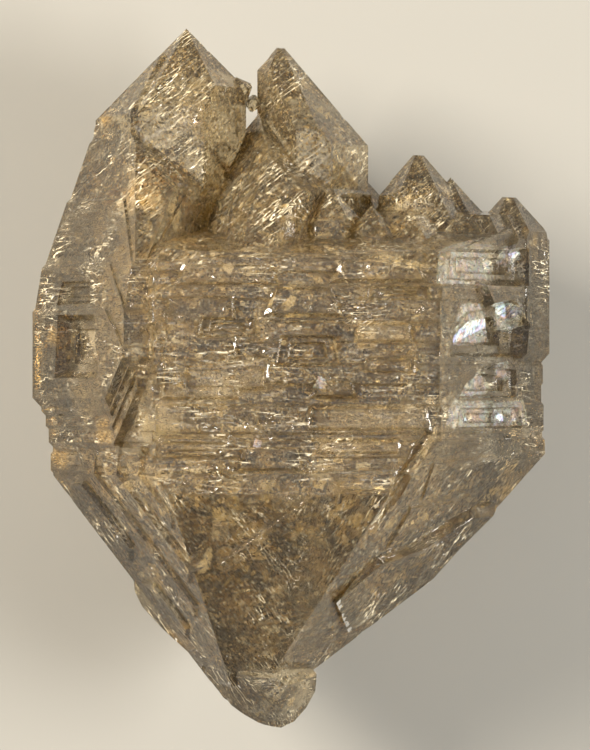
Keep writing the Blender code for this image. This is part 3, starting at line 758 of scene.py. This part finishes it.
def on_sheets(share, gathered):
    """A function that proposes places, with the normals that they lean to. A share of them lie on healed
    fractures, and a share is gathered where cracks cluster."""
    middle, side, other, normal, size, bend = healed_fractures()
    weight = size**2 / np.sum(size**2)
    spots = np.array(BRIGHT_SPOTS)
    spot_weight = spots[:, 2] ** 2 / np.sum(spots[:, 2] ** 2)

    def propose(count, chance):
        pick = chance.choice(SHEETS, count, p=weight)
        flat = chance.normal(size=(count, 2)) * 0.5 * size[pick, None]
        rise = bend[pick] * np.sum(flat**2, axis=1) + chance.normal(size=count) * SHEET_ROUGHNESS
        places = middle[pick] + side[pick] * flat[:, :1] + other[pick] * flat[:, 1:]
        places += normal[pick] * rise[:, None]
        loose = chance.random(count) > share
        places[loose] = chance.uniform(LOW, HIGH, (loose.sum(), 3))
        lean = normal[pick]
        lean[loose] = 0
        close = chance.random(count) < gathered
        spot = spots[chance.choice(len(spots), close.sum(), p=spot_weight)]
        places[close, :2] = spot[:, :2] + chance.normal(size=(close.sum(), 2)) * 0.5 * spot[:, 2:]
        places[close, 2] = chance.uniform(LOW[2] + 0.5 * (HIGH[2] - LOW[2]), HIGH[2], close.sum())
        return places, lean

    return propose


def flake_frames(places, lean, chance):
    """Normal, long side and short side of each flake. The long sides tend to follow the growth lines."""
    count = len(places)
    normal = unit(chance.normal(size=(count, 3)) * (0.8, 1.0, 1.1) + LEAN_SHARE * lean)
    follow = chance.normal(size=(count, 3)) * STRAY_SHARE + line_directions(places)
    side = follow - normal * np.sum(follow * normal, axis=1, keepdims=True)
    side /= np.linalg.norm(side, axis=1, keepdims=True)
    return normal, side, np.cross(normal, side)


def line_directions(places):
    """Unit vectors along the growth lines inside the crystal, seen from the front."""
    low = smooth_step(-places[:, 1], -LOWER_FACES_TOP - 4, -LOWER_FACES_TOP + 4)
    high = smooth_step(places[:, 1], POINTS_BOTTOM - 2, POINTS_BOTTOM + 6)
    right = smooth_step(places[:, 0], -4, 4)
    shares = (1 - low - high, low * (1 - right), low * right, high)
    sets = (LEVEL_LINES, LOWER_LEFT_LINES, LOWER_RIGHT_LINES, UPPER_LINES)
    along = sum(share[:, None] * np.array((rise, -side, 0.0)) for share, (side, rise) in zip(shares, sets))
    return along / np.maximum(np.linalg.norm(along, axis=1, keepdims=True), 0.2)


def closed_lenses(rim, poles, name):
    """A mesh of thin closed lenses. rim has each lens's ring of corners, and poles its two middles."""
    count, corners = rim.shape[:2]
    faces = []
    for step in range(corners):
        after = (step + 1) % corners
        faces += [(corners, step, after), (corners + 1, after, step)]
    each = corners + 2
    every = (np.array(faces)[None] + each * np.arange(count)[:, None, None]).reshape(-1, 3)
    mesh = bpy.data.meshes.new(name)
    mesh.from_pydata(np.concatenate([rim, poles], axis=1).reshape(-1, 3) * MM, [], every.tolist())
    return mesh


def make_flakes(field, kind, material):
    """Thin closed flakes, each a ring of corners between two poles."""
    count, corners = kind.count, kind.corners
    propose = on_sheets(kind.lined, kind.gathered)
    found = scatter(field, count, kind.sizes, kind.room, kind.reach, kind.seed, propose, kind.span)
    places, size, lean = found[:, :3], found[:, 3:4], found[:, 4:]
    chance = np.random.default_rng(kind.seed + SHAPE_SEED)
    normal, side, other = flake_frames(places, lean, chance)
    angles = math.tau * (np.arange(corners) + chance.uniform(-0.3, 0.3, (count, corners))) / corners
    out = size * chance.uniform(0.6, 1.0, (count, corners))
    narrow = chance.uniform(0.2, 0.8, (count, 1))
    long_part = side[:, None] * (out * np.cos(angles))[..., None]
    short_part = other[:, None] * (out * narrow * np.sin(angles))[..., None]
    rim = places[:, None] + long_part + short_part
    poles = places[:, None] + normal[:, None] * np.array([kind.thickness, -kind.thickness])[None, :, None]
    mesh = closed_lenses(rim, poles, kind.name)
    # Painted highlight: flakes near the bright spots get a paler tone.
    bright = near_spots(places, BRIGHT_SPOTS) * (0.5 + 0.5 * cloud(places, 0.9, 57))
    tone = kind.tone + kind.spread * (0.95 * chance.random(count) ** 1.5 - 0.38)
    tone += PAINTED_HIGHLIGHT_GAIN * bright - PAINTED_SHADE_LOSS * painted_shade(places) + PATCH_GAIN * cloud(places, PATCH_MM, 58)
    paint(mesh, "tone", np.repeat(np.clip(tone, 0, 1), corners + 2))
    paint(mesh, "gold", np.repeat(iron_stain(places), corners + 2))
    add_piece(kind.name, mesh, material)


def bright_crack(name, ragged=False):
    """A crack in quartz: a rough air gap, frosted, and painted pale where it shines. Most take on the brown
    of the crystal. A ragged one is broken up by spots where the crack has healed."""
    material = blank_material(name)
    tree = material.node_tree
    tone = add(tree, "Attribute", attribute_name="tone").outputs["Fac"]
    gold = add(tree, "Attribute", attribute_name="gold").outputs["Fac"]
    place = add(tree, "TexCoord").outputs["Object"]
    hackle = add(tree, "TexNoise", {
        "Vector": place,
        "Scale": HACKLE_PER_MM / MM,
        "Detail": 3.0,
        "Roughness": 0.75,
    }).outputs["Fac"]
    uneven = add(tree, "MapRange", {
        "Value": hackle,
        "From Min": 0.3,
        "From Max": 0.7,
        "To Min": -0.2,
        "To Max": 0.2,
    }).outputs["Result"]
    tone = add(tree, "Math", {0: tone, 1: uneven}, operation="ADD", use_clamp=True).outputs[0]
    ramp = add(tree, "ValToRGB", {"Fac": tone})
    steps = ramp.color_ramp.elements
    steps[0].color, steps[1].color = srgb("#241c0e"), srgb("#fff3d8")
    for spot, code in ((0.16, "#4c3f20"), (0.36, "#8f7a4b"), (0.68, "#d0b985")):
        steps.new(spot).color = srgb(code)
    stained = {"Factor": gold, 6: ramp.outputs["Color"], 7: srgb("#b58c46")}
    bump = add(tree, "Bump", {"Height": hackle, "Strength": 0.8, "Distance": 0.1 * MM}).outputs["Normal"]
    whole = 1.0
    if ragged:
        torn = add(tree, "TexNoise", {
            "Vector": place,
            "Scale": HEALED_SPOTS_PER_MM / MM,
            "Detail": 5.0,
            "Roughness": 0.75,
        }).outputs["Fac"]
        whole = add(tree, "MapRange", {"Value": torn, "From Min": 0.44, "From Max": 0.54}).outputs["Result"]
    skin = add(tree, "BsdfPrincipled", {
        "Base Color": add(tree, "Mix", stained, data_type="RGBA").outputs[2],
        "Roughness": 0.42,
        "Specular IOR Level": 0.25,
        "Normal": bump,
        "Alpha": whole,
    })
    add(tree, "OutputMaterial", {"Surface": skin.outputs["BSDF"]})
    return material


# Growth ghosts: flat pale layers just under the front faces, each given by the box (left, right,
# bottom, top) that it fills seen from the front, and how deep it lies.
GHOSTS = [
    (8.4, 15.6, 4.9, 7.2, 1.0),
    (5.1, 17.2, -6.9, -3.6, 1.4),
    (3.1, 13.8, -9.6, -8.3, 0.8),
    (-17.1, -8.4, -9.6, -7.6, 1.2),
    (6.4, 12.9, -14.1, -13.6, 0.7),
    (-12.4, -3.3, -2.9, 1.1, 1.6),
    (-10.5, -8.4, -21.2, -18.9, 0.8),
    (-17.4, -13.8, -5.4, -2.2, 1.4),
    (-2.6, 1.8, -17.4, -14.6, 1.6),
    (-27.6, -23.6, -4.6, 8.0, 1.2),
]

# Half the thickness of each flat lens: a ghost, a chip, a pane or a fracture.
LENS_THICKNESS = 0.02

# Pale chips just under the skin, all at one depth: (x, y, radius)
CHIP_DEPTH = 0.35
CHIPS = [
    (-10.0, 16.1, 0.7),
    (-8.1, 14.3, 0.8),
    (-1.0, 4.7, 0.45),
    (-9.0, 21.0, 0.42),
    (3.3, -28.2, 0.42),
    (-9.7, -20.0, 0.5),
    (-6.2, 9.6, 0.5),
]

# Silvery cracks behind the windows, so thin that they show faint colours, which are painted on with their
# sheen: front view outline, and depth.
PANES = [
    ([(18.9, 12.2), (26.2, 12.0), (26.8, 14.9), (25.4, 17.4), (20.6, 17.0), (19.0, 15.6)], 0.25),
    ([(26.7, 15.6), (28.4, 14.8), (30.9, 16.0), (30.4, 17.2), (28.0, 17.4)], 0.25),
    ([(21.2, 4.4), (25.9, 4.6), (25.7, 8.4), (24.6, 10.0), (22.4, 9.9), (21.3, 8.0)], 0.25),
    ([(26.8, 6.4), (28.6, 6.0), (30.9, 7.2), (30.6, 10.0), (27.2, 10.3)], 0.25),
    ([(21.2, -2.8), (26.6, -1.8), (24.6, 1.3)], 0.25),
    ([(26.8, 0.0), (28.2, -0.3), (29.3, 0.8), (28.6, 2.3), (27.0, 2.0)], 0.25),
    ([(20.1, -6.5), (25.9, -6.5), (26.2, -3.0), (20.6, -2.9)], 0.25),
    ([(26.3, -6.4), (31.2, -6.2), (30.8, -2.9), (26.6, -3.2)], 0.25),
    ([(3.0, -1.2), (4.4, -1.4), (4.6, -0.2), (3.6, 0.5)], 0.7),
    ([(-5.0, -8.9), (-4.0, -9.2), (-3.8, -8.2), (-4.7, -7.9)], 0.5),
]

# Single bright or dark cracks: (x, y, length, width, turn, depth, tone). Some are cracks; the bright ones
# along ridges and at the tip are painted highlights, and the dark ones along the outer edges painted shade.
FRACTURES = [
    (-18.8, -13.1, 7.7, 1.2, 17, 0.7, 0.90),
    (-20.4, -11.6, 3.6, 0.7, 24, 0.8, 0.80),
    (14.6, 14.9, 8.0, 0.7, -10, 0.8, 0.85),
    (11.4, 16.2, 3.6, 0.6, -22, 0.7, 0.80),
    (6.6, 13.9, 3.4, 0.3, -62, 0.6, 0.95),
    (5.2, 16.6, 2.4, 0.5, -30, 0.6, 0.90),
    (2.4, 18.1, 1.8, 0.6, 10, 0.6, 0.85),
    (-12.2, -11.9, 4.2, 0.5, -6, 0.6, 0.90),
    (18.0, -8.3, 5.0, 0.7, 63, 0.6, 0.90),
    (16.2, -11.4, 3.4, 0.4, 66, 0.6, 0.80),
    (14.9, 23.2, 3.0, 1.2, 40, 0.5, 0.95),
    (20.3, 25.3, 3.0, 0.7, -25, 0.5, 0.95),
    (17.8, 26.4, 4.4, 0.8, -6, 0.5, 0.00),
    (-10.5, 37.0, 1.2, 0.6, 60, 0.5, 0.95),
    (-9.8, 32.0, 1.1, 0.7, 20, 0.5, 0.95),
    (-11.3, 30.0, 1.0, 0.5, 70, 0.5, 0.90),
    (-10.1, 26.6, 1.3, 0.8, 10, 0.5, 0.95),
    (4.1, 35.6, 3.0, 0.6, -34, 0.6, 0.80),
    (-3.9, -44.8, 1.8, 0.6, 12, 0.5, 0.90),
    (-0.2, -43.2, 1.6, 0.7, 60, 0.5, 0.85),
    (-20.9, 34.8, 2.6, 1.1, 56, 0.5, 0.02),
    (-24.6, 34.4, 1.4, 0.7, 20, 0.4, 0.60),
    (-7.3, 34.4, 4.2, 0.5, 90, 0.3, 0.80),
    (31.7, 7.2, 19.0, 1.0, 90, 0.4, 0.08),
    (28.4, -8.7, 6.6, 2.2, -10, 0.4, 0.10),
    (28.2, 9.0, 4.4, 2.0, 75, 0.6, 0.12),
    (24.6, 3.0, 6.0, 0.9, 4, 0.4, 0.10),
    (19.6, 7.2, 6.4, 0.5, 88, 0.4, 0.15),
    (22.4, 18.8, 7.0, 0.9, -8, 0.4, 0.10),
    (-23.6, 31.0, 5.2, 1.2, 62, 0.4, 0.08),
    (-17.0, 38.6, 5.0, 0.8, 47, 0.4, 0.12),
    (-14.2, 30.6, 5.0, 1.6, 70, 0.5, 0.14),
    (-32.4, 0.6, 6.4, 0.9, 86, 0.4, 0.05),
    (-25.4, -17.0, 7.0, 1.2, -52, 0.4, 0.08),
    (-4.8, -40.6, 3.6, 1.2, -20, 0.4, 0.10),
]


def on_skin(tree, spot, middle):
    """The point of the front skin over a spot, seen from straight above. A spot past the outline is moved
    towards the middle first."""
    for share in (1.0, 0.85, 0.7, 0.5, 0.3, 0.0):
        x, y = middle + share * (spot - middle)
        hit = tree.ray_cast(Vector((x, y, HIGH[2] + 5)), -UP)[0]
        if hit is not None:
            return hit


def flat_lens(tree, outline, depth):
    """Rim and poles of a flat closed lens with a front view outline. It leans as the skin above it does,
    and its corners, edges and middle lie at least depth below that skin."""
    middle = np.mean(outline, axis=0)
    halfway = (outline + np.roll(outline, 1, axis=0)) / 2
    skin = np.array([on_skin(tree, spot, middle) for spot in (*outline, *halfway, middle)])
    flat = np.column_stack([skin[:, :2], np.ones(len(skin))])
    slopes = np.linalg.lstsq(flat, skin[:, 2], rcond=None)[0]
    heights = flat @ slopes
    heights -= np.max(heights - skin[:, 2]) + depth + LENS_THICKNESS
    normal = Vector((-slopes[0], -slopes[1], 1)).normalized()
    places = np.column_stack([skin[:, :2], heights])
    centre = Vector(places[-1])
    return places[: len(outline)], [centre + normal * LENS_THICKNESS, centre - normal * LENS_THICKNESS]


def rough_disc(x, y, radius, corners, chance):
    """An uneven round outline."""
    out = radius * chance.uniform(0.65, 1.0, corners)
    angles = math.tau * (np.arange(corners) + chance.uniform(-0.3, 0.3, corners)) / corners
    return np.stack([x + out * np.cos(angles), y + out * np.sin(angles)], axis=1)


def ghost_outline(left, right, bottom, top, chance):
    """A slightly crooked box with clipped corners."""
    clip = 0.16 * (top - bottom) * chance.uniform(0.2, 1.0, 4)
    skew = 0.06 * (top - bottom) * chance.uniform(-1, 1, 4)
    return np.array([
        (left + clip[0], bottom + skew[0]),
        (right - clip[1], bottom + skew[1]),
        (right, bottom + clip[1] + skew[1]),
        (right + skew[2], top - clip[2]),
        (right - clip[2], top),
        (left + clip[3], top + skew[3]),
        (left, top - clip[3]),
        (left + skew[0], bottom + clip[0]),
    ])


def leaf(x, y, length, width, turn, chance):
    """An uneven pointed outline about a middle, turned by an angle in degrees."""
    angles = math.tau * np.arange(10) / 10
    along = length / 2 * np.cos(angles)
    across = 0.75 * width * np.sin(angles) * chance.uniform(0.3, 1.3, 10)
    lean = math.radians(turn)
    return np.stack([
        x + along * math.cos(lean) - across * math.sin(lean),
        y + along * math.sin(lean) + across * math.cos(lean),
    ], axis=1)


def add_lenses(name, lenses, material):
    """One piece made of flat lenses that may differ in how many corners they have."""
    corners, faces = [], []
    for rim, poles in lenses:
        start, count = len(corners), len(rim)
        top, bottom = start + count, start + count + 1
        corners += [tuple(corner) for corner in (*rim, *poles)]
        for step in range(count):
            here, after = start + step, start + (step + 1) % count
            faces += [(top, here, after), (bottom, after, here)]
    mesh = bpy.data.meshes.new(name)
    mesh.from_pydata((np.array(corners) * MM).tolist(), [], faces)
    return add_piece(name, mesh, material)


def make_ghosts(tree):
    chance = np.random.default_rng(71)
    lenses = [flat_lens(tree, ghost_outline(*row[:4], chance), row[4]) for row in GHOSTS]
    add_lenses("growth_ghosts", lenses, growth_ghost())


def make_chips(tree):
    chance = np.random.default_rng(72)
    lenses = [flat_lens(tree, rough_disc(*row, 9, chance), CHIP_DEPTH) for row in CHIPS]
    add_lenses("pale_chips", lenses, pale_chip())


def make_panes(tree):
    lenses = [flat_lens(tree, np.array(outline), depth) for outline, depth in PANES]
    add_lenses("painted_sheen_panes", lenses, painted_sheen_pane())


def make_fractures(tree):
    chance = np.random.default_rng(74)
    lenses = [flat_lens(tree, leaf(*row[:5], chance), row[5]) for row in FRACTURES]
    mesh = add_lenses("single_fractures", lenses, bright_crack("ragged_crack", ragged=True)).data
    tones = np.repeat([row[6] for row in FRACTURES], len(lenses[0][0]) + 2)
    paint(mesh, "tone", tones + chance.uniform(-0.15, 0.15, len(tones)))
    paint(mesh, "gold", np.zeros(len(tones)))


def growth_ghost():
    """A dusty growth layer inside quartz: fine bubbles that caught on an older face, a thin pale haze."""
    material = blank_material("growth_ghost")
    tree = material.node_tree
    place = add(tree, "TexCoord").outputs["Object"]
    dust = add(tree, "TexNoise", {
        "Vector": place,
        "Scale": DUST_PER_MM / MM,
        "Detail": 5.0,
        "Roughness": 0.7,
    }).outputs["Fac"]
    thin = add(tree, "MapRange", {
        "Value": dust,
        "From Min": 0.35,
        "From Max": 0.65,
        "To Min": 0.08,
        "To Max": 0.32,
    }).outputs["Result"]
    haze = add(tree, "BsdfPrincipled", {"Base Color": srgb("#cbb894"), "Roughness": 0.5, "Alpha": thin})
    add(tree, "OutputMaterial", {"Surface": haze.outputs["BSDF"]})
    return material


def pale_chip():
    """A bruise just under the skin of the quartz: crushed, so it's matt and pale."""
    material = blank_material("pale_chip")
    tree = material.node_tree
    chip = add(tree, "BsdfPrincipled", {"Base Color": srgb("#d6c5a2"), "Roughness": 0.6})
    add(tree, "OutputMaterial", {"Surface": chip.outputs["BSDF"]})
    return material


def painted_sheen_pane():
    """A wide crack as thin as an oil film: a silvery mist with hints of rose, blue and green, a painted
    sheen.
    """
    material = blank_material("painted_sheen_pane")
    tree = material.node_tree
    place = add(tree, "TexCoord").outputs["Object"]
    mist = add(tree, "TexNoise", {
        "Vector": place,
        "Scale": MIST_PER_MM / MM,
        "Detail": 5.0,
        "Roughness": 0.7,
    }).outputs["Fac"]
    thin = add(tree, "MapRange", {
        "Value": mist,
        "From Min": 0.40,
        "From Max": 0.60,
        "To Min": 0.15,
        "To Max": 0.9,
    }).outputs["Result"]
    film_skin = add(tree, "BsdfPrincipled", {
        "Base Color": film_sheen_colours(tree, place),
        "Metallic": 0.1,
        "Roughness": 0.4,
        "Alpha": thin,
    })
    add(tree, "OutputMaterial", {"Surface": film_skin.outputs["BSDF"]})
    return material


# The stage: a pale floor, soft lamps, and a camera straight above as in the photo. Lengths are in metres.
# The floor lies a little below the crystal, and the frame's height is measured at the crystal's middle.
FLOOR_SIZE = 3.0
FLOOR_GAP = 0.00005
CAMERA_PLACE = (0.00051, 0.00046)
CAMERA_HEIGHT = 0.72
FRAME_HEIGHT = 0.1007
MIDDLE_HEIGHT = 0.020
SENSOR = 36.0


def make_floor():
    """A wide sheet of matt paper."""
    bpy.ops.mesh.primitive_plane_add(size=FLOOR_SIZE, location=(0, 0, -FLOOR_GAP))
    floor = bpy.context.object
    floor.name = "floor"
    material = blank_material("matt_paper")
    tree = material.node_tree
    paper = add(tree, "BsdfPrincipled", {"Base Color": srgb("#928f88"), "Roughness": 0.9})
    add(tree, "OutputMaterial", {"Surface": paper.outputs["BSDF"]})
    floor.data.materials.append(material)


def soft_lamp(name, place, size, power, colour):
    """A square softbox that faces the crystal's middle. size is in metres and power in watts."""
    lamp = bpy.data.lights.new(name, "AREA")
    lamp.size = size
    lamp.energy = power
    lamp.color = srgb(colour)[:3]
    made = bpy.data.objects.new(name, lamp)
    made.location = place
    facing = Vector((0, 0, MIDDLE_HEIGHT)) - Vector(place)
    made.rotation_euler = facing.to_track_quat("-Z", "Y").to_euler()
    bpy.context.scene.collection.objects.link(made)


def make_lights():
    soft_lamp("key", (-0.48, 0.26, 0.38), 0.30, 11.4, "#fff7ea")
    soft_lamp("fill", (0.52, -0.06, 0.34), 0.30, 7.2, "#fffdf8")
    world = bpy.data.worlds.new("studio")
    world.use_nodes = True
    light = world.node_tree.nodes["Background"].inputs
    light["Color"].default_value = srgb("#c9c8c5")
    light["Strength"].default_value = 0.4
    bpy.context.scene.world = world


def make_camera():
    camera = bpy.data.cameras.new("camera")
    camera.sensor_width = SENSOR
    camera.lens = SENSOR * (CAMERA_HEIGHT - MIDDLE_HEIGHT) / FRAME_HEIGHT
    made = bpy.data.objects.new("camera", camera)
    made.location = (*CAMERA_PLACE, CAMERA_HEIGHT)
    bpy.context.scene.collection.objects.link(made)
    bpy.context.scene.camera = made


def set_render():
    scene = bpy.context.scene
    scene.cycles.max_bounces = 32
    scene.cycles.transmission_bounces = 32
    scene.cycles.glossy_bounces = 12
    scene.cycles.transparent_max_bounces = 16
    scene.cycles.caustics_refractive = True
    scene.cycles.caustics_reflective = True
    scene.cycles.use_denoising = True
    scene.view_settings.view_transform = "Standard"


quartz_depth, quartz_skin = make_body()
crack_skin = bright_crack("bright_crack")
for kind in FLAKES:
    make_flakes(quartz_depth, kind, crack_skin)
make_ghosts(quartz_skin)
make_chips(quartz_skin)
make_panes(quartz_skin)
make_fractures(quartz_skin)
make_floor()
make_lights()
make_camera()
set_render()
